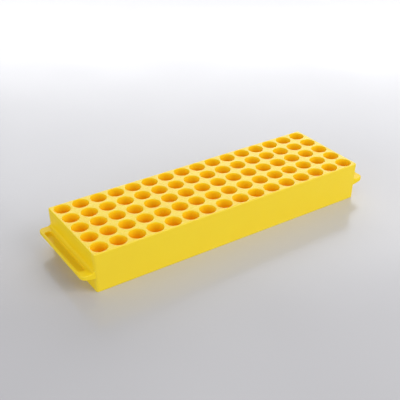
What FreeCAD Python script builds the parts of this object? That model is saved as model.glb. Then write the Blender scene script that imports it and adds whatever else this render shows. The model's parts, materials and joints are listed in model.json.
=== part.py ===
import FreeCAD, Part
import math
import os
import Sketcher

# Low 80-place rack for 1.5 and 2.0 mL microcentrifuge tubes: a drafted shell with a deck of
# blind wells and a hollowed hand grip on each end, in millimetres.
# Frame: X along the rack, Y to its back, Z up, origin at the middle of the base.

DIMENSIONS = {
    # well grid
    "columns": 16,
    "rows": 5,
    "pitch": 13.2,
    "bore_diameter": 11.0,
    "well_wall": 0.9,
    "well_floor": 1.2,
    "well_lift": 1.0,          # the wells end this far above the base
    "deck_thickness": 2.0,
    # shell
    "rack_height": 28.0,
    "bore_skin": 0.25,         # material between the outermost bores and the shell's walls
    "end_wall_top": 1.55,
    "end_wall_base": 0.75,
    "side_wall_top": 1.05,
    "side_wall_base": 0.70,
    "corner_radius": 1.4,
    "rim_radius": 0.7,
    # hand grips
    "grip_reach": 8.45,        # beyond the deck's end
    "grip_setback": 0.2,       # each end of a grip behind the shell's side
    "grip_top_height": 14.6,
    "grip_root_depth": 4.6,
    "grip_tip_depth": 2.6,
    "grip_cove_radius": 2.0,   # hollow rounding where the ledge's top meets the end wall
    "grip_corner_radius": 3.5,
    "grip_edge_radius": 0.5,
    "hollow_depth": 2.2,
    "hollow_wall_offset": 2.1,   # ledge left between the deck's end and the hollow
    "hollow_rim": 1.45,        # ledge left between the hollow and the tip
    "hollow_end_margin": 6.65,   # and between the hollow and each end of the ledge
    "hollow_corner_radius": 1.6,
}

doc = FreeCAD.newDocument("TubeRack")
sheet = doc.addObject("Spreadsheet::Sheet", "Dimensions")
for line, (alias, value) in enumerate(DIMENSIONS.items(), start=1):
    sheet.set(f"A{line}", alias)
    sheet.set(f"B{line}", str(value))
    sheet.setAlias(f"B{line}", alias)
doc.recompute()


def cell(alias):
    return f"Dimensions.{alias}"


# The shell's inside starts a skin's thickness outside the outermost bores.
BORE_REACH = f"({cell('bore_diameter')} / 2 + {cell('bore_skin')})"
INSIDE_HALF_LENGTH = f"(({cell('columns')} - 1) / 2 * {cell('pitch')} + {BORE_REACH})"
INSIDE_HALF_WIDTH = f"(({cell('rows')} - 1) / 2 * {cell('pitch')} + {BORE_REACH})"
TOP_HALF_LENGTH = f"({INSIDE_HALF_LENGTH} + {cell('end_wall_top')})"
BASE_HALF_LENGTH = f"({INSIDE_HALF_LENGTH} + {cell('end_wall_base')})"
TOP_HALF_WIDTH = f"({INSIDE_HALF_WIDTH} + {cell('side_wall_top')})"
BASE_HALF_WIDTH = f"({INSIDE_HALF_WIDTH} + {cell('side_wall_base')})"


def principal_plane(body, role):
    return next(plane for plane in body.Origin.OriginFeatures if plane.Role == role)


def new_body(name):
    return doc.addObject("PartDesign::Body", name)


def new_sketch(body, name, role, level="0"):
    """A sketch on one of the body's principal planes, lifted by the expression level."""
    sketch = body.newObject("Sketcher::SketchObject", name)
    sketch.AttachmentSupport = [(principal_plane(body, role), "")]
    sketch.MapMode = "FlatFace"
    sketch.setExpression("AttachmentOffset.Base.z", level)
    return sketch


def dimension(sketch, label, expression, kind, *references):
    """A driving constraint whose value follows an expression."""
    index = sketch.addConstraint(Sketcher.Constraint(kind, *references))
    sketch.renameConstraint(index, label)
    sketch.setExpression(f"Constraints.{label}", expression)


def draw_circle(sketch, diameter):
    centre = FreeCAD.Vector(0, 0, 0)
    sketch.addGeometry(Part.Circle(centre, FreeCAD.Vector(0, 0, 1), 5))
    sketch.addConstraint(Sketcher.Constraint("Coincident", 0, 3, -1, 1))
    dimension(sketch, "diameter", diameter, "Diameter", 0, 10)


def draw_rounded_rectangle(sketch, half_length, half_width, radius, centre_x="0"):
    """Four lines and four tangent corner arcs, centred on the X axis at centre_x."""
    x, y, r = 20, 10, 2
    corners = [(x - r, r - y, -90), (x - r, y - r, 0), (r - x, y - r, 90), (r - x, r - y, 180)]
    sides = [((r - x, -y), (x - r, -y)), ((x, r - y), (x, y - r)),
             ((x - r, y), (r - x, y)), ((-x, y - r), (-x, r - y))]
    for start, end in sides:
        sketch.addGeometry(Part.LineSegment(FreeCAD.Vector(*start, 0), FreeCAD.Vector(*end, 0)))
    for corner_x, corner_y, angle in corners:
        circle = Part.Circle(FreeCAD.Vector(corner_x, corner_y, 0), FreeCAD.Vector(0, 0, 1), r)
        arc = Part.ArcOfCircle(circle, math.radians(angle), math.radians(angle + 90))
        sketch.addGeometry(arc)
    for side in range(4):
        arc = 4 + side
        sketch.addConstraint(Sketcher.Constraint("Tangent", side, 2, arc, 1))
        sketch.addConstraint(Sketcher.Constraint("Tangent", arc, 2, (side + 1) % 4, 1))
        direction = "Horizontal" if side % 2 == 0 else "Vertical"
        sketch.addConstraint(Sketcher.Constraint(direction, side))
    for arc in (5, 6, 7):
        sketch.addConstraint(Sketcher.Constraint("Equal", 4, arc))
    centre = sketch.addGeometry(Part.Point(FreeCAD.Vector(0, 0, 0)), True)
    sketch.addConstraint(Sketcher.Constraint("PointOnObject", centre, 1, -1))
    sketch.addConstraint(Sketcher.Constraint("Symmetric", 4, 3, 6, 3, centre, 1))
    dimension(sketch, "centre_x", centre_x, "DistanceX", -1, 1, centre, 1, 0.1)
    dimension(sketch, "length", f"2 * {half_length}", "DistanceX", 3, 1, 1, 1, 2 * x)
    dimension(sketch, "width", f"2 * {half_width}", "DistanceY", 0, 1, 2, 1, 2 * y)
    dimension(sketch, "radius", radius, "Radius", 4, r)


def draw_rectangle(sketch, length, width):
    """A rectangle centred on the sketch's origin."""
    points = [(-5, -5), (5, -5), (5, 5), (-5, 5)]
    for index in range(4):
        start = FreeCAD.Vector(*points[index], 0)
        end = FreeCAD.Vector(*points[(index + 1) % 4], 0)
        sketch.addGeometry(Part.LineSegment(start, end))
    for index in range(4):
        sketch.addConstraint(Sketcher.Constraint("Coincident", index, 2, (index + 1) % 4, 1))
        direction = "Horizontal" if index % 2 == 0 else "Vertical"
        sketch.addConstraint(Sketcher.Constraint(direction, index))
    sketch.addConstraint(Sketcher.Constraint("Symmetric", 0, 1, 2, 1, -1, 1))
    dimension(sketch, "length", length, "DistanceX", 0, 1, 0, 2, 10)
    dimension(sketch, "width", width, "DistanceY", 1, 1, 1, 2, 10)


def pad(body, sketch, name, length, reversed_pad=False):
    feature = body.newObject("PartDesign::Pad", name)
    feature.Profile = sketch
    feature.setExpression("Length", length)
    feature.Reversed = reversed_pad
    return feature


def pocket(body, sketch, name, depth):
    """A cut from the sketch down into the body; it has to take material away."""
    doc.recompute()
    before = body.Shape.Volume
    feature = body.newObject("PartDesign::Pocket", name)
    feature.Profile = sketch
    feature.setExpression("Length", depth)
    doc.recompute()
    if body.Shape.Volume >= before:
        raise RuntimeError(f"{name} cuts nothing")
    return feature


def make_well():
    """One well: its tile of the deck, the tube that hangs from it and the blind bore."""
    body = new_body("well")
    height = cell("rack_height")
    tile = new_sketch(body, "tile_outline", "XY_Plane", f"{height} - {cell('deck_thickness')}")
    draw_rectangle(tile, cell("pitch"), cell("pitch"))
    pad(body, tile, "tile", cell("deck_thickness"))
    tube = new_sketch(body, "tube_outline", "XY_Plane", cell("well_lift"))
    draw_circle(tube, f"{cell('bore_diameter')} + 2 * {cell('well_wall')}")
    pad(body, tube, "tube", f"{height} - {cell('well_lift')}")
    bore = new_sketch(body, "bore_outline", "XY_Plane", height)
    draw_circle(bore, cell("bore_diameter"))
    pocket(body, bore, "bore", f"{height} - {cell('well_lift')} - {cell('well_floor')}")
    return body


def make_outer_form():
    """The shell's drafted outside as one block, its corners and its top rim rounded."""
    body = new_body("outer_form")
    block = body.newObject("PartDesign::AdditiveWedge", "drafted_block")
    block.AttachmentSupport = [(principal_plane(body, "XY_Plane"), "")]
    block.MapMode = "FlatFace"
    # a wedge rises along its own Y, so it is tipped up to rise along Z
    upright = FreeCAD.Rotation(FreeCAD.Vector(1, 0, 0), 90)
    block.AttachmentOffset = FreeCAD.Placement(FreeCAD.Vector(0, 0, 0), upright)
    extents = {"X": (BASE_HALF_LENGTH, TOP_HALF_LENGTH), "Z": (BASE_HALF_WIDTH, TOP_HALF_WIDTH)}
    for axis, (base, top) in extents.items():
        block.setExpression(f"{axis}min", f"-{base}")
        block.setExpression(f"{axis}max", base)
        block.setExpression(f"{axis}2min", f"-{top}")
        block.setExpression(f"{axis}2max", top)
    block.setExpression("Ymin", "0")
    block.setExpression("Ymax", cell("rack_height"))
    doc.recompute()
    top_level = sheet.get("rack_height")
    corners = round_edges(body, block, "corners", "corner_radius",
                          lambda ends: abs(ends[0].z - ends[1].z) > top_level / 2)
    return round_edges(body, corners, "rim", "rim_radius",
                       lambda ends: min(ends[0].z, ends[1].z) > top_level - 1e-6)


def round_edges(body, base, name, radius, is_chosen):
    """A fillet on the base feature's edges whose two end points pass the test."""
    chosen = []
    for number, edge in enumerate(base.Shape.Edges, start=1):
        ends = [edge.firstVertex().Point, edge.lastVertex().Point]
        if is_chosen(ends):
            chosen.append(f"Edge{number}")
    fillet = body.newObject("PartDesign::Fillet", name)
    fillet.Base = (base, chosen)
    fillet.setExpression("Radius", cell(radius))
    doc.recompute()
    return fillet


def region_box(name, low, high):
    """A box between two corners, each three expressions; it bounds a part of the shell."""
    box = doc.addObject("Part::Box", name)
    for axis, size, start, end in zip("xyz", ("Length", "Width", "Height"), low, high):
        box.setExpression(size, f"{end} - {start}")
        box.setExpression(f"Placement.Base.{axis}", start)
    return box


def boolean(kind, name, first, second):
    feature = doc.addObject(f"Part::{kind}", name)
    feature.Base = first
    feature.Tool = second
    feature.Refine = False
    return feature


def make_walls(outer_form):
    """The shell as two side walls, which hold the corners, and two end walls between them."""
    beyond_x = f"({TOP_HALF_LENGTH} + {cell('pitch')})"
    beyond_y = f"({TOP_HALF_WIDTH} + {cell('pitch')})"
    top = cell("rack_height")
    regions = {
        "front_wall": ((f"-{beyond_x}", f"-{beyond_y}", "0"), (beyond_x, f"-{INSIDE_HALF_WIDTH}", top)),
        "back_wall": ((f"-{beyond_x}", INSIDE_HALF_WIDTH, "0"), (beyond_x, beyond_y, top)),
        "left_end_wall": ((f"-{beyond_x}", f"-{INSIDE_HALF_WIDTH}", "0"),
                          (f"-{INSIDE_HALF_LENGTH}", INSIDE_HALF_WIDTH, top)),
        "right_end_wall": ((INSIDE_HALF_LENGTH, f"-{INSIDE_HALF_WIDTH}", "0"),
                           (beyond_x, INSIDE_HALF_WIDTH, top)),
    }
    walls = []
    for name, (low, high) in regions.items():
        region = region_box(f"{name}_region", low, high)
        walls.append(boolean("Common", name, outer_form, region))
    return walls


def make_grip_blank(side, direction):
    """A ledge with a long hollow, still running into the end wall; direction is +1 or -1 in X."""
    body = new_body(f"{side}_grip_blank")
    tip = f"({TOP_HALF_LENGTH} + {cell('grip_reach')})"
    root = INSIDE_HALF_LENGTH
    half_width = f"({BASE_HALF_WIDTH} - {cell('grip_setback')})"
    top = cell("grip_top_height")
    # the cove ends a little inside the end wall's face, which leans with the draft
    lean = f"({TOP_HALF_LENGTH} - {BASE_HALF_LENGTH}) / {cell('rack_height')}"
    cove_wall = f"({BASE_HALF_LENGTH} + ({top} + {cell('grip_cove_radius')}) * {lean} - 0.05)"

    # side profile on the XZ plane: level top with a cove up to the wall, short tip, deep root
    profile = new_sketch(body, f"{side}_grip_profile", "XZ_Plane")
    corners = [(100, 10), (110, 12), (110, 15), (104, 15), (102, 17), (100, 17)]
    points = [FreeCAD.Vector(direction * x, z, 0) for x, z in corners]
    for index in (0, 1, 2, 4, 5):
        profile.addGeometry(Part.LineSegment(points[index], points[(index + 1) % 6]))
    middle_angle = math.radians(-90 - 45 * direction)
    centre = FreeCAD.Vector(direction * 104, 17, 0)
    circle = Part.Circle(centre, FreeCAD.Vector(0, 0, 1), 2)
    half_turn = math.radians(45)
    profile.addGeometry(Part.ArcOfCircle(circle, middle_angle - half_turn, middle_angle + half_turn))
    first, last = (2, 1) if direction > 0 else (1, 2)
    for line, end, following in ((0, 2, 1), (1, 2, 2), (3, 2, 4), (4, 2, 0)):
        profile.addConstraint(Sketcher.Constraint("Coincident", line, end, following, 1))
    profile.addConstraint(Sketcher.Constraint("Tangent", 2, 2, 5, first))
    profile.addConstraint(Sketcher.Constraint("Coincident", 3, 1, 5, last))
    for line, kind in ((1, "Vertical"), (2, "Horizontal"), (3, "Horizontal"), (4, "Vertical")):
        profile.addConstraint(Sketcher.Constraint(kind, line))
    dimension(profile, "root", f"{direction} * {root}", "DistanceX", -1, 1, 0, 1, direction * 100)
    dimension(profile, "tip", f"{direction} * {tip}", "DistanceX", -1, 1, 0, 2, direction * 110)
    dimension(profile, "top_level", top, "DistanceY", -1, 1, 2, 1, 15)
    root_level = f"{top} - {cell('grip_root_depth')}"
    tip_level = f"{top} - {cell('grip_tip_depth')}"
    dimension(profile, "root_level", root_level, "DistanceY", -1, 1, 0, 1, 10)
    dimension(profile, "tip_level", tip_level, "DistanceY", -1, 1, 0, 2, 12)
    cove = cell("grip_cove_radius")
    dimension(profile, "cove_radius", cove, "Radius", 5, 2)
    dimension(profile, "cove_level", f"{top} + {cove}", "DistanceY", -1, 1, 3, 1, 17)
    cove_foot = f"({cove_wall} + {cove})"
    dimension(profile, "cove_foot", f"{direction} * {cove_foot}", "DistanceX", -1, 1, 2, 2, direction * 104)
    ledge = pad(body, profile, f"{side}_ledge", f"2 * {half_width}")
    ledge.SideType = "Symmetric"
    doc.recompute()

    # plan corners at the tip, soft edges along it, then the hollow in the ledge's top
    tip_x = max(abs(vertex.X) for vertex in ledge.Shape.Vertexes)

    def upright_at_tip(ends):
        same_place = abs(ends[0].y - ends[1].y) < 1e-6
        return same_place and abs(abs(ends[0].x) - tip_x) < 1e-6 and abs(abs(ends[1].x) - tip_x) < 1e-6

    def along_tip(ends):
        both_at_tip = abs(abs(ends[0].x) - tip_x) < 1e-6 and abs(abs(ends[1].x) - tip_x) < 1e-6
        return both_at_tip and abs(ends[0].y - ends[1].y) > 1

    rounded = round_edges(body, ledge, f"{side}_plan_corners", "grip_corner_radius", upright_at_tip)
    round_edges(body, rounded, f"{side}_soft_edges", "grip_edge_radius", along_tip)
    hollow = new_sketch(body, f"{side}_hollow_outline", "XY_Plane", top)
    hollow_start = f"({TOP_HALF_LENGTH} + {cell('hollow_wall_offset')})"
    hollow_end = f"({tip} - {cell('hollow_rim')})"
    draw_rounded_rectangle(hollow, f"(({hollow_end} - {hollow_start}) / 2)",
                           f"({half_width} - {cell('hollow_end_margin')})",
                           cell("hollow_corner_radius"),
                           f"{direction} * ({hollow_start} + {hollow_end}) / 2")
    pocket(body, hollow, f"{side}_hollow", cell("hollow_depth"))
    return body


def make_well_rows(well):
    """Each row of wells as separate touching solids, trimmed to the inside of the shell."""
    low = (f"-{INSIDE_HALF_LENGTH}", f"-{INSIDE_HALF_WIDTH}", "0")
    high = (INSIDE_HALF_LENGTH, INSIDE_HALF_WIDTH, cell("rack_height"))
    cavity = region_box("cavity", low, high)
    nodes = []
    for row in range(int(sheet.get("rows"))):
        letter = chr(ord("a") + row)
        wells = []
        for column in range(int(sheet.get("columns"))):
            name = f"well_{letter}{column + 1:02d}"
            link = doc.addObject("App::Link", f"{name}_place")
            link.LinkedObject = well
            place_x = f"({column} - ({cell('columns')} - 1) / 2) * {cell('pitch')}"
            place_y = f"({row} - ({cell('rows')} - 1) / 2) * {cell('pitch')}"
            link.setExpression("Placement.Base.x", place_x)
            link.setExpression("Placement.Base.y", place_y)
            wells.append(boolean("Common", name, link, cavity))
        node = doc.addObject("Part::Compound", f"well_row_{letter}")
        node.Links = wells
        nodes.append(node)
    return nodes


def export(nodes):
    """Check every object, then write one file for each node."""
    doc.recompute()
    for item in doc.Objects:
        if "Invalid" in item.State or "Error" in item.State:
            raise RuntimeError(f"{item.Name} failed: {item.State}")
    os.makedirs("parts", exist_ok=True)
    for node in nodes:
        shape = node.Shape
        if shape.isNull() or not shape.isValid() or not shape.Solids:
            raise RuntimeError(f"{node.Label} has no sound shape")
        shape.exportStep(os.path.join("parts", f"{node.Label}.step"))
        print(f"{node.Label}: {len(shape.Solids)} solids, {shape.Volume:.1f} mm3")


well = make_well()
outer_form = make_outer_form()
doc.recompute()
walls = make_walls(outer_form)
grips = []
for side, direction in (("left", -1), ("right", 1)):
    blank = make_grip_blank(side, direction)
    grips.append(boolean("Cut", f"{side}_grip", blank, outer_form))
export(make_well_rows(well) + walls + grips)
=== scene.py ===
import json
import math

import bmesh
import bpy
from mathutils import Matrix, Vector


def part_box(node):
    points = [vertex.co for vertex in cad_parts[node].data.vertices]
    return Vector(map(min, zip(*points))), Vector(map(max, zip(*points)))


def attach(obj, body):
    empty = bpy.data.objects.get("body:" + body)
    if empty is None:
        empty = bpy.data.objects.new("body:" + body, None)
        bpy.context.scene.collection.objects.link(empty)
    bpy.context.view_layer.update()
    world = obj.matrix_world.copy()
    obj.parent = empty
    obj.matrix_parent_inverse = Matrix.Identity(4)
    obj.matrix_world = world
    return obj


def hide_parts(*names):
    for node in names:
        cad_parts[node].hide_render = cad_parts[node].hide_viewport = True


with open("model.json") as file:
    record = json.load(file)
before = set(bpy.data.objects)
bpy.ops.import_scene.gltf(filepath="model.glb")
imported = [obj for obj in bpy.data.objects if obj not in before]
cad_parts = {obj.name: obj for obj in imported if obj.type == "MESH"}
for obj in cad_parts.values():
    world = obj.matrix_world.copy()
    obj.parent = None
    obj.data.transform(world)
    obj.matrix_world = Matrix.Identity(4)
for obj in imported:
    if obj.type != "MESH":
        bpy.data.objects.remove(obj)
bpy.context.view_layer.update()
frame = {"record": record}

MM = 0.001

# ---------------------------------------------------------------- sizes of the moulding
side_low, side_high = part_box("back_wall")
end_low, end_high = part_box("right_end_wall")
grip_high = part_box("right_grip")[1]
HEIGHT = side_high.z
INSIDE_HALF_LENGTH = end_low.x
INSIDE_HALF_WIDTH = side_low.y
TOP_HALF_LENGTH = end_high.x
TOP_HALF_WIDTH = side_high.y
END_DRAFT = 0.8 * MM            # how far each end leans in over the whole height
SIDE_DRAFT = 0.35 * MM
CORNER_RADIUS = 1.4 * MM
RIM_RADIUS = 0.7 * MM           # rounding between the deck and the walls
FOOT_RADIUS = 0.3 * MM          # rounding under the walls' lower edge
CORNER_SEGMENTS = 8

WELLS = [mount for mount in frame["record"]["mounts"] if mount["kind"] == "bore"]
COLUMNS = sum(mount["pos_m"][1] == WELLS[0]["pos_m"][1] for mount in WELLS)
ROWS = len(WELLS) // COLUMNS
BORE_RADIUS = WELLS[0]["dims"]["r_mm"] * MM
PITCH = WELLS[1]["pos_m"][0] - WELLS[0]["pos_m"][0]
WELL_WALL = 0.9 * MM
WELL_LIFT = 1.0 * MM            # the tubes end above the base
WELL_FLOOR = 2.2 * MM           # height of the floor inside
LIP_RADIUS = 0.45 * MM          # lead-in at each well's mouth
FLOOR_RADIUS = 1.0 * MM
TUBE_FOOT_RADIUS = 0.5 * MM
DECK_THICKNESS = 2.0 * MM
WELL_SEGMENTS = 48

DECK_HALF_LENGTH = TOP_HALF_LENGTH - RIM_RADIUS
DECK_HALF_WIDTH = TOP_HALF_WIDTH - RIM_RADIUS
DECK_CORNER_RADIUS = CORNER_RADIUS - RIM_RADIUS

SINK_DEPTH = 0.06 * MM          # shallow hollows where the tubes meet the walls
SINK_REACH = 2.4 * MM
SINK_FADE_BELOW = 4 * MM        # they fade out towards the foot and towards the deck
SINK_FADE_ABOVE = 6 * MM
SPLIT_HALF_WIDTH = 31.0 * MM    # the side walls run round the corners to here

LEDGE_TOP = 14.6 * MM
HOLLOW_DEPTH = 2.2 * MM
HOLLOW_WALL_OFFSET = 2.1 * MM
HOLLOW_RIM = 1.45 * MM          # ledge left outside the hollow
HOLLOW_END_MARGIN = 6.65 * MM
HOLLOW_CORNER_RADIUS = 1.6 * MM
GRIP_CORNER_RADIUS = 3.5 * MM
GRIP_ROOT_DEPTH = 4.6 * MM
GRIP_TIP_DEPTH = 2.6 * MM
GRIP_EDGE_RADIUS = 0.5 * MM
HOLLOW_EDGE_RADIUS = 0.3 * MM
HOLLOW_FOOT_RADIUS = 0.5 * MM
GRIP_ROOT_GAP = 0.3 * MM        # the ledge runs into the end wall, to this far from its inside
COVE_RADIUS = 2.0 * MM          # hollow rounding between the ledge's top and the end wall
COVE_BITE = 0.05 * MM           # the cove's top ends this deep in the end wall's face

# how finely the roundings and long faces are divided
LIP_STEPS = 6
BORE_STEPS = 6
SMALL_STEPS = 4
FOOT_STEPS = 3
FACE_STEPS = 14
RIM_STEPS = 6
STEPS_PER_WELL = 8
GRIP_CORNER_STEPS = 8
GRIP_LONG_STEPS = 24
GRIP_EDGE_SEGMENTS = 4
COVE_STEPS = 8

MERGE_DISTANCE = 0.0005 * MM
SHARP_ANGLE = math.radians(40)  # edges that turn more than this keep a crease
BEVEL_ANGLE = math.radians(50)
FLAT_FACE_WEIGHT = 80


# ---------------------------------------------------------------- mesh tools
class Shape:
    """Points and faces of one piece; every face carries the number of its finish."""

    def __init__(self):
        self.points = []
        self.faces = []
        self.finishes = []

    def ring(self, points):
        start = len(self.points)
        self.points += points
        return list(range(start, len(self.points)))

    def face(self, corners, finish=0):
        self.faces.append(corners)
        self.finishes.append(finish)

    def bridge(self, first, second, finish=0, closed=True):
        """Quads between two rings of as many points."""
        count = len(first)
        for i in range(count if closed else count - 1):
            j = (i + 1) % count
            self.face([first[i], first[j], second[j], second[i]], finish)

    def cap(self, ring, centre, finish=0):
        middle = self.ring([centre])[0]
        for i, here in enumerate(ring):
            self.face([here, ring[(i + 1) % len(ring)], middle], finish)

    def make(self, name, materials):
        mesh = bpy.data.meshes.new(name)
        mesh.from_pydata(self.points, [], self.faces)
        mesh.polygons.foreach_set("material_index", self.finishes)
        work = bmesh.new()
        work.from_mesh(mesh)
        bmesh.ops.remove_doubles(work, verts=work.verts, dist=MERGE_DISTANCE)
        bmesh.ops.recalc_face_normals(work, faces=work.faces)
        work.to_mesh(mesh)
        work.free()
        mesh.shade_smooth()
        mesh.set_sharp_from_angle(angle=SHARP_ANGLE)
        piece = bpy.data.objects.new(name, mesh)
        bpy.context.scene.collection.objects.link(piece)
        for material in materials:
            mesh.materials.append(material)
        return piece


def flat_faces_first(piece):
    """Normals that keep large flat faces flat and let the small roundings turn."""
    modifier = piece.modifiers.new("flat_faces_first", "WEIGHTED_NORMAL")
    modifier.mode = "FACE_AREA"
    modifier.weight = FLAT_FACE_WEIGHT
    modifier.keep_sharp = True


def clamp(value, limit):
    return max(-limit, min(limit, value))


def quarter(steps):
    """Angles from 0 to a right angle."""
    return [math.pi / 2 * step / steps for step in range(steps + 1)]


# ---------------------------------------------------------------- rows of wells
def circle(centre, radius, level, inside=False):
    points = []
    for k in range(WELL_SEGMENTS):
        angle = 2 * math.pi * k / WELL_SEGMENTS
        x = centre[0] + radius * math.cos(angle)
        y = centre[1] + radius * math.sin(angle)
        if inside:
            x = clamp(x, INSIDE_HALF_LENGTH)
            y = clamp(y, INSIDE_HALF_WIDTH)
        points.append((x, y, level))
    return points


def tile_edge(centre, level):
    """The outline of a well's square of deck, one point for each of the bore's."""
    reach = PITCH / 2
    right = min(reach, DECK_HALF_LENGTH - centre[0])
    left = min(reach, DECK_HALF_LENGTH + centre[0])
    back = min(reach, DECK_HALF_WIDTH - centre[1])
    front = min(reach, DECK_HALF_WIDTH + centre[1])
    points = []
    for k in range(WELL_SEGMENTS):
        angle = 2 * math.pi * k / WELL_SEGMENTS
        across, along = math.cos(angle), math.sin(angle)
        scale = 1 / max(abs(across), abs(along))
        x = across * scale * (right if across > 0 else left)
        y = along * scale * (back if along > 0 else front)
        points.append((centre[0] + x, centre[1] + y, level))
    return points


def corner_arc(sign_x, sign_y, level):
    """The deck's rounded corner, going anticlockwise."""
    centre_x = DECK_HALF_LENGTH - DECK_CORNER_RADIUS
    centre_y = DECK_HALF_WIDTH - DECK_CORNER_RADIUS
    start = math.atan2(sign_y, sign_x) - math.pi / 4
    points = []
    for angle in quarter(CORNER_SEGMENTS):
        x = sign_x * centre_x + DECK_CORNER_RADIUS * math.cos(start + angle)
        y = sign_y * centre_y + DECK_CORNER_RADIUS * math.sin(start + angle)
        points.append((x, y, level))
    return points


def add_well(shape, centre, column, row):
    """The bore, the tube round it and their square of deck, as one closed form."""
    top = shape.ring(tile_edge(centre, HEIGHT))
    under = shape.ring(tile_edge(centre, HEIGHT - DECK_THICKNESS))
    rings = []
    for angle in quarter(LIP_STEPS):
        radius = BORE_RADIUS + LIP_RADIUS * (1 - math.sin(angle))
        level = HEIGHT - LIP_RADIUS * (1 - math.cos(angle))
        rings.append(shape.ring(circle(centre, radius, level)))
    depth = HEIGHT - LIP_RADIUS - WELL_FLOOR - FLOOR_RADIUS
    for step in range(1, BORE_STEPS):
        level = HEIGHT - LIP_RADIUS - depth * step / BORE_STEPS
        rings.append(shape.ring(circle(centre, BORE_RADIUS, level)))
    for angle in quarter(SMALL_STEPS):
        radius = BORE_RADIUS - FLOOR_RADIUS * (1 - math.cos(angle))
        level = WELL_FLOOR + FLOOR_RADIUS * (1 - math.sin(angle))
        rings.append(shape.ring(circle(centre, radius, level)))
    for first, second in zip(rings, rings[1:]):
        shape.bridge(first, second, 1)
    shape.cap(rings[-1], (centre[0], centre[1], WELL_FLOOR), 1)

    outside = BORE_RADIUS + WELL_WALL
    tube = [shape.ring(circle(centre, outside, HEIGHT - DECK_THICKNESS, True))]
    for angle in quarter(SMALL_STEPS):
        radius = outside - TUBE_FOOT_RADIUS * (1 - math.cos(angle))
        level = WELL_LIFT + TUBE_FOOT_RADIUS * (1 - math.sin(angle))
        tube.append(shape.ring(circle(centre, radius, level, True)))
    shape.bridge(under, tube[0])
    for first, second in zip(tube, tube[1:]):
        shape.bridge(first, second)
    shape.cap(tube[-1], (centre[0], centre[1], WELL_LIFT))
    add_tile(shape, top, under, rings[0], column, row)


def add_tile(shape, top, under, mouth, column, row):
    """The top of a well's square of deck and, at the row's outside, its edge faces."""
    count = WELL_SEGMENTS
    eighth = count // 8
    sign_x = 1 if column == COLUMNS - 1 else -1 if column == 0 else 0
    sign_y = 1 if row == ROWS - 1 else -1 if row == 0 else 0
    rounded = None
    if sign_x and sign_y:
        corners = {(1, 1): 1, (-1, 1): 3, (-1, -1): 5, (1, -1): 7}
        rounded = corners[sign_x, sign_y] * eighth
    for i in range(count):
        j = (i + 1) % count
        if rounded is not None and (i == rounded or j == rounded):
            continue
        shape.face([top[i], top[j], mouth[j], mouth[i]])
        angle = (i + 0.5) / count
        side = int((angle + 0.125) * 4) % 4       # 0 right, 1 back, 2 left, 3 front
        outer = side in (1, 3) or (side == 0 and sign_x == 1) or (side == 2 and sign_x == -1)
        if outer:
            shape.face([top[i], under[i], under[j], top[j]])
    if rounded is not None:
        before, after = (rounded - 1) % count, (rounded + 1) % count
        arc = shape.ring(corner_arc(sign_x, sign_y, HEIGHT))
        lower = shape.ring(corner_arc(sign_x, sign_y, HEIGHT - DECK_THICKNESS))
        upper_path = [top[before]] + arc + [top[after]]
        lower_path = [under[before]] + lower + [under[after]]
        shape.face(upper_path + [mouth[after], mouth[rounded], mouth[before]])
        shape.bridge(upper_path, lower_path, closed=False)
        shape.face(lower_path + [under[rounded]])


def row_letter(mount):
    """The row in a well's name, such as the a of well_a01."""
    return mount["name"][5]


def make_well_rows(shell_finish, bore_finish):
    letters = sorted({row_letter(mount) for mount in WELLS})
    for row, letter in enumerate(letters):
        members = [mount for mount in WELLS if row_letter(mount) == letter]
        shape = Shape()
        for column, mount in enumerate(members):
            add_well(shape, mount["pos_m"], column, row)
        piece = shape.make(f"moulded_well_row_{letter}", [shell_finish, bore_finish])
        flat_faces_first(piece)
        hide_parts(f"well_row_{letter}")
        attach(piece, "root")


# ---------------------------------------------------------------- walls
def half_sizes(level):
    """The shell's half length and half width at a level; both faces lean in downwards."""
    lean = 1 - level / HEIGHT
    return TOP_HALF_LENGTH - END_DRAFT * lean, TOP_HALF_WIDTH - SIDE_DRAFT * lean


def sink(position, level):
    """How far a wall is drawn in beside the nearest tube."""
    offset = (position / PITCH) % 1
    near = min(offset, 1 - offset) * PITCH
    ends = min(1, level / SINK_FADE_BELOW) * min(1, (HEIGHT - level) / SINK_FADE_ABOVE)
    return SINK_DEPTH * math.exp(-(near / SINK_REACH) ** 2) * ends


def outer_point(station, level, inset):
    """A point of the outside. A station is a place on a long side, an end or a corner."""
    kind, sign_x, sign_y, value = station
    length, width = half_sizes(level)
    if kind == "side":
        x = value * (length - CORNER_RADIUS)
        inset += sink(x + PITCH / 2, level)
        return x, sign_y * (width - inset), level
    if kind == "end":
        inset += sink(value, level)
        return sign_x * (length - inset), value, level
    radius = CORNER_RADIUS - inset
    x = length - CORNER_RADIUS + radius * math.cos(value)
    y = width - CORNER_RADIUS + radius * math.sin(value)
    return sign_x * x, sign_y * y, level


def inner_point(station, level):
    kind, sign_x, sign_y, value = station
    if kind == "side":
        x = clamp(value * (half_sizes(level)[0] - CORNER_RADIUS), INSIDE_HALF_LENGTH)
        return x, sign_y * INSIDE_HALF_WIDTH, level
    if kind == "end":
        return sign_x * INSIDE_HALF_LENGTH, value, level
    return sign_x * INSIDE_HALF_LENGTH, sign_y * INSIDE_HALF_WIDTH, level


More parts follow.
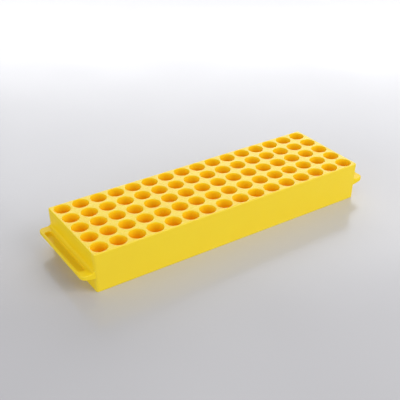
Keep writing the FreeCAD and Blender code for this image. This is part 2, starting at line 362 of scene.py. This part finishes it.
def wall_section(station):
    """The closed section of a wall at one station, from its foot up the outside and back."""
    points = []
    for angle in quarter(FOOT_STEPS):
        inset = FOOT_RADIUS * (1 - math.sin(angle))
        points.append(outer_point(station, FOOT_RADIUS * (1 - math.cos(angle)), inset))
    face_height = HEIGHT - RIM_RADIUS - FOOT_RADIUS
    for step in range(1, FACE_STEPS + 1):
        points.append(outer_point(station, FOOT_RADIUS + face_height * step / FACE_STEPS, 0))
    for angle in quarter(RIM_STEPS)[1:]:
        level = HEIGHT - RIM_RADIUS * (1 - math.sin(angle))
        points.append(outer_point(station, level, RIM_RADIUS * (1 - math.cos(angle))))
    seat = HEIGHT - DECK_THICKNESS
    edge = points[-1]
    points.append((edge[0], edge[1], seat))
    points.append(inner_point(station, seat))
    points.append(inner_point(station, 0))
    return points


def corner_stations(sign_x, sign_y):
    return [("corner", sign_x, sign_y, angle) for angle in quarter(CORNER_SEGMENTS)]


def make_wall(name, stations, finish):
    shape = Shape()
    sections = [shape.ring(wall_section(station)) for station in stations]
    for first, second in zip(sections, sections[1:]):
        shape.bridge(first, second)
    shape.face(sections[0])
    shape.face(sections[-1])
    piece = shape.make(f"moulded_{name}", [finish])
    flat_faces_first(piece)
    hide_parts(name)
    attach(piece, "root")


def make_walls(side_finish, end_finish):
    side_steps = COLUMNS * STEPS_PER_WELL
    end_steps = ROWS * STEPS_PER_WELL
    side_shares = [2 * step / side_steps - 1 for step in range(side_steps + 1)]
    for name, sign_y in (("front_wall", -1), ("back_wall", 1)):
        stub = [("end", -1, 0, sign_y * SPLIT_HALF_WIDTH)]
        far_stub = [("end", 1, 0, sign_y * SPLIT_HALF_WIDTH)]
        stations = stub + corner_stations(-1, sign_y)
        stations += [("side", 0, sign_y, share) for share in side_shares]
        stations += corner_stations(1, sign_y)[::-1] + far_stub
        make_wall(name, stations, side_finish)
    for name, sign_x in (("left_end_wall", -1), ("right_end_wall", 1)):
        places = [SPLIT_HALF_WIDTH * (2 * step / end_steps - 1) for step in range(end_steps + 1)]
        make_wall(name, [("end", sign_x, 0, place) for place in places], end_finish)


# ---------------------------------------------------------------- hand grips
def arc(centre, radius, start, turn, steps):
    """Points of a plan arc that starts at an angle in degrees and turns by another."""
    angles = [math.radians(start + turn * step / steps) for step in range(steps + 1)]
    return [(centre[0] + radius * math.cos(a), centre[1] + radius * math.sin(a)) for a in angles]


def straight(start, end, steps):
    """Points between two plan points, both left out."""
    shares = [step / steps for step in range(1, steps)]
    return [(start[0] + (end[0] - start[0]) * s, start[1] + (end[1] - start[1]) * s) for s in shares]


def ledge_rim(foot, tip, half_width):
    """The ledge's outside in plan, from the cove's foot at the front round the tip to the back."""
    centre = tip - GRIP_CORNER_RADIUS, half_width - GRIP_CORNER_RADIUS
    front = arc((centre[0], -centre[1]), GRIP_CORNER_RADIUS, -90, 90, GRIP_CORNER_STEPS)
    back = arc(centre, GRIP_CORNER_RADIUS, 0, 90, GRIP_CORNER_STEPS)
    points = [(foot, -half_width)] + straight((foot, -half_width), front[0], 2) + front
    points += straight(front[-1], back[0], GRIP_LONG_STEPS) + back
    return points + straight(back[-1], (foot, half_width), 2) + [(foot, half_width)]


def hollow_outline(low, high, end, outset):
    """The hollow in plan, grown by an outset, with as many points as the ledge's whole outline."""
    radius = HOLLOW_CORNER_RADIUS + outset
    low, high, end = low - outset, high + outset, end + outset
    near_front = arc((low + radius, radius - end), radius, 180, 90, 2)
    far_front = arc((high - radius, radius - end), radius, -90, 90, GRIP_CORNER_STEPS)
    far_back = arc((high - radius, end - radius), radius, 0, 90, GRIP_CORNER_STEPS)
    near_back = arc((low + radius, end - radius), radius, 90, 90, 2)
    far_side = straight(far_front[-1], far_back[0], GRIP_LONG_STEPS)
    near_side = straight(near_back[-1], near_front[0], GRIP_LONG_STEPS)
    return near_front[1:] + far_front + far_side + far_back + near_back + near_side + near_front[:1]


def make_grip(name, direction, finish):
    """A ledge with its hollow and its cove, as one closed form; direction is +1 or -1 in X."""
    half_width = grip_high.y
    tip = grip_high.x
    root = INSIDE_HALF_LENGTH + GRIP_ROOT_GAP
    wall = half_sizes(LEDGE_TOP + COVE_RADIUS)[0] - COVE_BITE
    foot = wall + COVE_RADIUS
    rim = ledge_rim(foot, tip, half_width)
    hollow = TOP_HALF_LENGTH + HOLLOW_WALL_OFFSET, tip - HOLLOW_RIM, half_width - HOLLOW_END_MARGIN
    seat_steps = len(hollow_outline(*hollow, 0)) - len(rim)
    seat = straight((foot, half_width), (foot, -half_width), seat_steps + 1)

    def underside(x):
        share = (x - root) / (tip - root)
        return LEDGE_TOP - GRIP_ROOT_DEPTH + (GRIP_ROOT_DEPTH - GRIP_TIP_DEPTH) * share

    shape = Shape()

    def ring(points, level=None):
        return shape.ring([(direction * x, y, underside(x) if level is None else level)
                           for x, y in points])

    outer_top = ring(rim + seat, LEDGE_TOP)
    outer_under = ring(rim)
    sides = [outer_top]
    for angle in quarter(SMALL_STEPS):
        outset = HOLLOW_EDGE_RADIUS * (1 - math.sin(angle))
        level = LEDGE_TOP - HOLLOW_EDGE_RADIUS * (1 - math.cos(angle))
        sides.append(ring(hollow_outline(*hollow, outset), level))
    for angle in quarter(SMALL_STEPS):
        outset = -HOLLOW_FOOT_RADIUS * (1 - math.cos(angle))
        level = LEDGE_TOP - HOLLOW_DEPTH + HOLLOW_FOOT_RADIUS * (1 - math.sin(angle))
        sides.append(ring(hollow_outline(*hollow, outset), level))
    for first, second in zip(sides, sides[1:]):
        shape.bridge(first, second)
    shape.face(sides[-1])
    count = len(rim)
    shape.bridge(outer_top[:count], outer_under, closed=False)

    # the cove climbs from the ledge's inner edge to the end wall
    edge = [(foot, half_width)] + seat + [(foot, -half_width)]
    climb = [outer_top[count - 1:] + outer_top[:1]]
    for angle in quarter(COVE_STEPS)[1:]:
        back = COVE_RADIUS * math.sin(angle)
        level = LEDGE_TOP + COVE_RADIUS * (1 - math.cos(angle))
        climb.append(ring([(x - back, y) for x, y in edge], level))
    climb.append(ring([(root, y) for x, y in edge], LEDGE_TOP + COVE_RADIUS))
    climb.append(ring([(root, y) for x, y in edge]))
    for first, second in zip(climb, climb[1:]):
        shape.bridge(first, second, closed=False)
    for end, rim_point in ((0, outer_under[-1]), (-1, outer_under[0])):
        shape.face([line[end] for line in climb] + [rim_point])
    shape.face(outer_under + climb[-1])
    piece = shape.make(f"moulded_{name}", [finish])
    bevel = piece.modifiers.new("soft_edges", "BEVEL")
    bevel.width = GRIP_EDGE_RADIUS
    bevel.segments = GRIP_EDGE_SEGMENTS
    bevel.limit_method = "ANGLE"
    bevel.angle_limit = BEVEL_ANGLE
    bevel.use_clamp_overlap = False
    flat_faces_first(piece)
    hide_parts(name)
    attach(piece, "root")


# ---------------------------------------------------------------- finishes
def add(tree, kind, **settings):
    node = tree.nodes.new(kind)
    for name, value in settings.items():
        setattr(node, name, value)
    return node


def new_effect(name, inputs, outputs):
    """An empty effect: a node group with its named sockets, its input and its output node."""
    group = bpy.data.node_groups.new(name, "ShaderNodeTree")
    for label, value in inputs.items():
        kind = "NodeSocketFloat" if isinstance(value, float) else "NodeSocketColor"
        socket = group.interface.new_socket(label, in_out="INPUT", socket_type=kind)
        socket.default_value = value
    for label, kind in outputs.items():
        group.interface.new_socket(label, in_out="OUTPUT", socket_type=f"NodeSocket{kind}")
    return group, group.nodes.new("NodeGroupInput"), group.nodes.new("NodeGroupOutput")


def place_effect(tree, group, **values):
    """An effect in a material, with that material's own values."""
    node = add(tree, "ShaderNodeGroup", node_tree=group)
    for label, value in values.items():
        node.inputs[label.replace("_", " ")].default_value = value
    return node


def noise(tree, vector, scale, detail, roughness=0.5):
    node = add(tree, "ShaderNodeTexNoise")
    node.inputs["Scale"].default_value = scale
    node.inputs["Detail"].default_value = detail
    node.inputs["Roughness"].default_value = roughness
    tree.links.new(vector, node.inputs["Vector"])
    return node.outputs["Fac"]


def remap(tree, value, low, high, to_low=0, to_high=1):
    """A value between two limits as a smooth share between two others."""
    node = add(tree, "ShaderNodeMapRange", interpolation_type="SMOOTHSTEP")
    tree.links.new(value, node.inputs["Value"])
    limits = {"From Min": low, "From Max": high, "To Min": to_low, "To Max": to_high}
    for label, limit in limits.items():
        node.inputs[label].default_value = limit
    return node.outputs["Result"]


def combine(tree, operation, first, second):
    """Two values, each a socket or a number, put through one maths node."""
    node = add(tree, "ShaderNodeMath", operation=operation)
    for socket, value in zip(node.inputs, (first, second)):
        if isinstance(value, float):
            socket.default_value = value
        else:
            tree.links.new(value, socket)
    return node.outputs["Value"]


def blend(tree, amount, first, second):
    node = add(tree, "ShaderNodeMix", data_type="RGBA")
    tree.links.new(amount, node.inputs["Factor"])
    for socket, value in ((node.inputs[6], first), (node.inputs[7], second)):
        if isinstance(value, tuple):
            socket.default_value = (*value, 1)
        else:
            tree.links.new(value, socket)
    return node.outputs[2]


def make_moulded_grain():
    """The fine skin a spark-finished mould leaves, over a slow orange-peel swell."""
    inputs = {"Grain Scale": 1500.0, "Swell Share": 0.4, "Roughness": 0.35, "Roughness Spread": 0.06}
    group, start, end = new_effect("moulded_grain", inputs, {"Height": "Float", "Roughness": "Float"})
    place = add(group, "ShaderNodeTexCoord").outputs["Object"]
    fine = add(group, "ShaderNodeTexNoise")
    fine.inputs["Detail"].default_value = 2
    group.links.new(place, fine.inputs["Vector"])
    group.links.new(start.outputs["Grain Scale"], fine.inputs["Scale"])
    swell = noise(group, place, 260, 1)
    share = start.outputs["Swell Share"]
    rest = combine(group, "SUBTRACT", 1.0, share)
    height = combine(group, "ADD", combine(group, "MULTIPLY", fine.outputs["Fac"], rest),
                     combine(group, "MULTIPLY", swell, share))
    group.links.new(height, end.inputs["Height"])
    patches = combine(group, "SUBTRACT", noise(group, place, 70, 4, 0.6), 0.5)
    spread = combine(group, "MULTIPLY", patches, start.outputs["Roughness Spread"])
    total = combine(group, "ADD", start.outputs["Roughness"], combine(group, "MULTIPLY", spread, 3.0))
    group.links.new(total, end.inputs["Roughness"])
    return group


def make_resin_flow():
    """Slow clouds and streaks of colour that the resin leaves along the rack as it fills."""
    inputs = {"Colour": (0.9, 0.7, 0.02, 1), "Streak Colour": (0.85, 0.6, 0.01, 1), "Amount": 0.5}
    group, start, end = new_effect("resin_flow", inputs, {"Colour": "Color"})
    place = add(group, "ShaderNodeTexCoord").outputs["Object"]
    stretch = add(group, "ShaderNodeMapping")
    stretch.inputs["Scale"].default_value = (9, 34, 34)
    group.links.new(place, stretch.inputs["Vector"])
    streaks = remap(group, noise(group, stretch.outputs["Vector"], 1, 3), 0.35, 0.68)
    clouds = remap(group, noise(group, place, 55, 2), 0.3, 0.7)
    both = combine(group, "MULTIPLY", combine(group, "ADD", streaks, clouds), 0.5)
    amount = combine(group, "MULTIPLY", both, start.outputs["Amount"])
    group.links.new(blend(group, amount, start.outputs["Colour"], start.outputs["Streak Colour"]),
                    end.inputs["Colour"])
    return group


def make_edge_wear_and_sheen():
    """Edges and roundings made paler and smoother in patches: partly handling wear, partly a painted
    sheen on the edges.
    """
    inputs = {"Colour": (0.9, 0.7, 0.02, 1), "Rubbed Colour": (0.95, 0.8, 0.1, 1), "Amount": 0.5}
    group, start, end = new_effect("edge_wear_and_sheen", inputs, {"Colour": "Color", "Mask": "Float"})
    # edges found by how sharply the surface turns, made paler as wear and as a painted sheen
    edge = remap(group, add(group, "ShaderNodeNewGeometry").outputs["Pointiness"], 0.51, 0.58)
    place = add(group, "ShaderNodeTexCoord").outputs["Object"]
    patches = remap(group, noise(group, place, 180, 4, 0.6), 0.35, 0.65, 0.2, 1)
    mask = combine(group, "MULTIPLY", combine(group, "MULTIPLY", edge, patches), start.outputs["Amount"])
    group.links.new(blend(group, mask, start.outputs["Colour"], start.outputs["Rubbed Colour"]),
                    end.inputs["Colour"])
    group.links.new(mask, end.inputs["Mask"])
    return group


def make_hairline_scuffs():
    """Short fine scuffs in two directions, from tubes and fingers."""
    group, start, end = new_effect("hairline_scuffs", {"Amount": 0.5}, {"Mask": "Float"})
    place = add(group, "ShaderNodeTexCoord").outputs["Object"]
    lines = []
    for angle, offset in ((0.35, 0.0), (-0.8, 0.3)):
        turn = add(group, "ShaderNodeMapping")
        turn.inputs["Rotation"].default_value = (0, 0, angle)
        turn.inputs["Location"].default_value = (offset, offset, offset)
        turn.inputs["Scale"].default_value = (120, 2600, 900)
        group.links.new(place, turn.inputs["Vector"])
        lines.append(remap(group, noise(group, turn.outputs["Vector"], 1, 1), 0.66, 0.74))
    where = remap(group, noise(group, place, 45, 2), 0.45, 0.65)
    both = combine(group, "MAXIMUM", *lines)
    mask = combine(group, "MULTIPLY", combine(group, "MULTIPLY", both, where), start.outputs["Amount"])
    group.links.new(mask, end.inputs["Mask"])
    return group


REFRACTION = 1.49               # polypropylene, and near enough for the table's lacquer


def new_finish(name, specular):
    """A new material, its tree and its shader."""
    material = bpy.data.materials.new(name)
    material.use_nodes = True
    shader = material.node_tree.nodes["Principled BSDF"]
    shader.inputs["IOR"].default_value = REFRACTION
    shader.inputs["Specular IOR Level"].default_value = specular
    return material, material.node_tree, shader


def emboss(tree, height, strength, distance, shader):
    bump = add(tree, "ShaderNodeBump")
    bump.inputs["Strength"].default_value = strength
    bump.inputs["Distance"].default_value = distance
    tree.links.new(height, bump.inputs["Height"])
    tree.links.new(bump.outputs["Normal"], shader.inputs["Normal"])


# the resin; each bore has a painted shade that deepens to orange between two depths below the deck,
# standing for light bounced between the well's walls
YELLOW = (0.965, 0.72, 0.014, 1)
DEEP_YELLOW = (0.95, 0.67, 0.010, 1)
# paler edge colour: partly wear, partly a painted sheen on the edges
WORN_AND_SHEEN_YELLOW = (0.97, 0.80, 0.09, 1)
BORE_SHADE_ORANGE = (0.99, 0.565, 0.003)
GLOW_ORANGE = (1.0, 0.36, 0.0)
GLOW_STRENGTH = 0.06            # painted glow that stands for light let through the thin walls
BORE_SHADE_START = 1.5 * MM
BORE_SHADE_END = 13 * MM
RUB_SMOOTHS = 0.12              # what a full rub takes from the roughness
SCUFF_ROUGHENS = 0.14           # and what a full scuff adds
SCUFF_CUT = 0.5                 # a scuff's depth as a share of the grain's height
GRAIN_HEIGHT = 0.03 * MM
BORE_GRAIN_HEIGHT = 0.02 * MM


def yellow_polypropylene(name, flow_share, specular, roughness, spread, grain, wear_and_sheen_share, scuff, relief):
    """The moulded resin with its flow, grain, scuffs and paler edges that are partly wear and partly a
    painted sheen.
    """
    material, tree, shader = new_finish(name, specular)
    flow = place_effect(tree, RESIN_FLOW, Colour=YELLOW, Streak_Colour=DEEP_YELLOW,
                        Amount=flow_share)
    wear_and_sheen = place_effect(tree, EDGE_WEAR_AND_SHEEN, Rubbed_Colour=WORN_AND_SHEEN_YELLOW, Amount=wear_and_sheen_share)
    skin = place_effect(tree, MOULDED_GRAIN, Grain_Scale=grain, Roughness=roughness,
                        Roughness_Spread=spread)
    scuffs = place_effect(tree, HAIRLINE_SCUFFS, Amount=scuff)
    tree.links.new(flow.outputs["Colour"], wear_and_sheen.inputs["Colour"])
    tree.links.new(wear_and_sheen.outputs["Colour"], shader.inputs["Base Color"])
    smoother = combine(tree, "MULTIPLY", wear_and_sheen.outputs["Mask"], RUB_SMOOTHS)
    rougher = combine(tree, "MULTIPLY", scuffs.outputs["Mask"], SCUFF_ROUGHENS)
    gloss = combine(tree, "SUBTRACT", skin.outputs["Roughness"], smoother)
    tree.links.new(combine(tree, "ADD", gloss, rougher), shader.inputs["Roughness"])
    height = combine(tree, "SUBTRACT", skin.outputs["Height"],
                     combine(tree, "MULTIPLY", scuffs.outputs["Mask"], SCUFF_CUT))
    emboss(tree, height, relief, GRAIN_HEIGHT, shader)
    return material


def deck_finish():
    return yellow_polypropylene("glossy_yellow_deck", flow_share=1.4, specular=0.33, roughness=0.30,
                                spread=0.05, grain=1300.0, wear_and_sheen_share=0.5, scuff=0.5, relief=0.35)


def side_wall_finish():
    return yellow_polypropylene("satin_yellow_side_wall", flow_share=0.4, specular=0.55, roughness=0.42,
                                spread=0.06, grain=1700.0, wear_and_sheen_share=0.7, scuff=0.35, relief=0.5)


def end_wall_finish():
    return yellow_polypropylene("matt_yellow_end_wall", flow_share=0.6, specular=0.2, roughness=0.46,
                                spread=0.06, grain=1700.0, wear_and_sheen_share=0.7, scuff=0.35, relief=0.5)


def grip_finish():
    return yellow_polypropylene("handled_yellow_grip", flow_share=0.8, specular=0.22, roughness=0.40,
                                spread=0.08, grain=1700.0, wear_and_sheen_share=0.9, scuff=0.8, relief=0.45)


def bore_finish():
    """Smooth cored resin with faint lines along the draw; a painted shade turns it orange with depth,
    and a faint painted glow adds light.
    """
    material, tree, shader = new_finish("cored_yellow_bore", 0.4)
    place = add(tree, "ShaderNodeTexCoord").outputs["Object"]
    split = add(tree, "ShaderNodeSeparateXYZ")
    tree.links.new(place, split.inputs["Vector"])
    depth = remap(tree, split.outputs["Z"], HEIGHT - BORE_SHADE_START, HEIGHT - BORE_SHADE_END)
    flow = place_effect(tree, RESIN_FLOW, Colour=YELLOW, Streak_Colour=DEEP_YELLOW, Amount=0.6)
    # painted shade: orange deepening with depth, standing for light bounced inside the well
    shaded_with_depth = blend(tree, depth, flow.outputs["Colour"], BORE_SHADE_ORANGE)
    tree.links.new(shaded_with_depth, shader.inputs["Base Color"])
    # painted glow, standing for light let through the thin walls
    glow = blend(tree, depth, (0.0, 0.0, 0.0), GLOW_ORANGE)
    tree.links.new(glow, shader.inputs["Emission Color"])
    shader.inputs["Emission Strength"].default_value = GLOW_STRENGTH
    skin = place_effect(tree, MOULDED_GRAIN, Grain_Scale=1100.0, Swell_Share=0.6, Roughness=0.26,
                        Roughness_Spread=0.04)
    tree.links.new(skin.outputs["Roughness"], shader.inputs["Roughness"])
    along = add(tree, "ShaderNodeMapping")
    along.inputs["Scale"].default_value = (1800, 1800, 25)
    tree.links.new(place, along.inputs["Vector"])
    draw_lines = combine(tree, "MULTIPLY", noise(tree, along.outputs["Vector"], 1, 2), 0.5)
    emboss(tree, combine(tree, "ADD", skin.outputs["Height"], draw_lines), 0.3, BORE_GRAIN_HEIGHT,
           shader)
    return material


TABLE_SHADE = (0.55, 0.545, 0.565)
TABLE_PALE = (0.60, 0.595, 0.615)
TABLE_RIPPLE = 0.02 * MM


def table_finish():
    """Pale table top with a soft gloss that is a little uneven."""
    material, tree, shader = new_finish("pale_gloss_table", 0.5)
    place = add(tree, "ShaderNodeTexCoord").outputs["Object"]
    clouds = remap(tree, noise(tree, place, 3, 3), 0.3, 0.7)
    tree.links.new(blend(tree, clouds, TABLE_SHADE, TABLE_PALE),
                   shader.inputs["Base Color"])
    tree.links.new(remap(tree, noise(tree, place, 9, 4), 0.3, 0.7, 0.16, 0.22),
                   shader.inputs["Roughness"])
    emboss(tree, noise(tree, place, 400, 2), 0.05, TABLE_RIPPLE, shader)
    return material


# ---------------------------------------------------------------- stage, light and camera
def make_stage():
    bpy.ops.mesh.primitive_plane_add(size=6, location=(0, 0, 0))
    floor = bpy.context.object
    floor.name = "floor"
    floor.data.materials.append(table_finish())
    world = bpy.data.worlds.new("studio")
    bpy.context.scene.world = world
    world.use_nodes = True
    background = world.node_tree.nodes["Background"]
    background.inputs["Color"].default_value = (0.96, 0.97, 1.0, 1)
    background.inputs["Strength"].default_value = 0.50


def area_light(name, place, aim, size, power, colour):
    data = bpy.data.lights.new(name, "AREA")
    data.shape = "RECTANGLE"
    data.size, data.size_y = size
    data.energy = power
    data.color = colour
    light = bpy.data.objects.new(name, data)
    light.location = place
    light.rotation_euler = (Vector(aim) - Vector(place)).to_track_quat("-Z", "Y").to_euler()
    bpy.context.scene.collection.objects.link(light)


def make_lights():
    area_light("key", place=(0.60, -0.90, 0.68), aim=(0, 0, 0), size=(0.9, 0.9), power=9,
               colour=(1, 0.99, 0.97))
    area_light("left_fill", place=(-1.3, -0.25, 0.42), aim=(0, 0, 0), size=(1.2, 0.6), power=5.5,
               colour=(1, 0.99, 0.97))
    area_light("back_panel", place=(0.95, 1.35, 0.75), aim=(0, 0, 0), size=(1.5, 0.8), power=9,
               colour=(0.97, 0.98, 1))
    area_light("low_backdrop", place=(0.95, 1.40, 0.30), aim=(0, 0, 0.1), size=(1.6, 0.5), power=3.2,
               colour=(0.98, 0.98, 1))


def make_camera():
    azimuth = math.radians(33.5)
    elevation = math.radians(30.5)
    distance = 0.5037
    aim = Vector((-17.5 * MM, -13.8 * MM, HEIGHT))
    back = Vector((-math.sin(azimuth) * math.cos(elevation),
                   -math.cos(azimuth) * math.cos(elevation), math.sin(elevation)))
    data = bpy.data.cameras.new("camera")
    data.lens = 68
    data.clip_start = 0.01
    camera = bpy.data.objects.new("camera", data)
    camera.location = aim + back * distance
    camera.rotation_euler = (-back).to_track_quat("-Z", "Y").to_euler()
    bpy.context.scene.collection.objects.link(camera)
    bpy.context.scene.camera = camera


MOULDED_GRAIN = make_moulded_grain()
RESIN_FLOW = make_resin_flow()
EDGE_WEAR_AND_SHEEN = make_edge_wear_and_sheen()
HAIRLINE_SCUFFS = make_hairline_scuffs()

make_well_rows(deck_finish(), bore_finish())
make_walls(side_wall_finish(), end_wall_finish())
handled = grip_finish()
make_grip("left_grip", -1, handled)
make_grip("right_grip", 1, handled)
make_stage()
make_lights()
make_camera()
bpy.context.scene.view_settings.view_transform = "Standard"
bpy.context.scene.cycles.diffuse_bounces = 12   # the wells glow by light between their walls
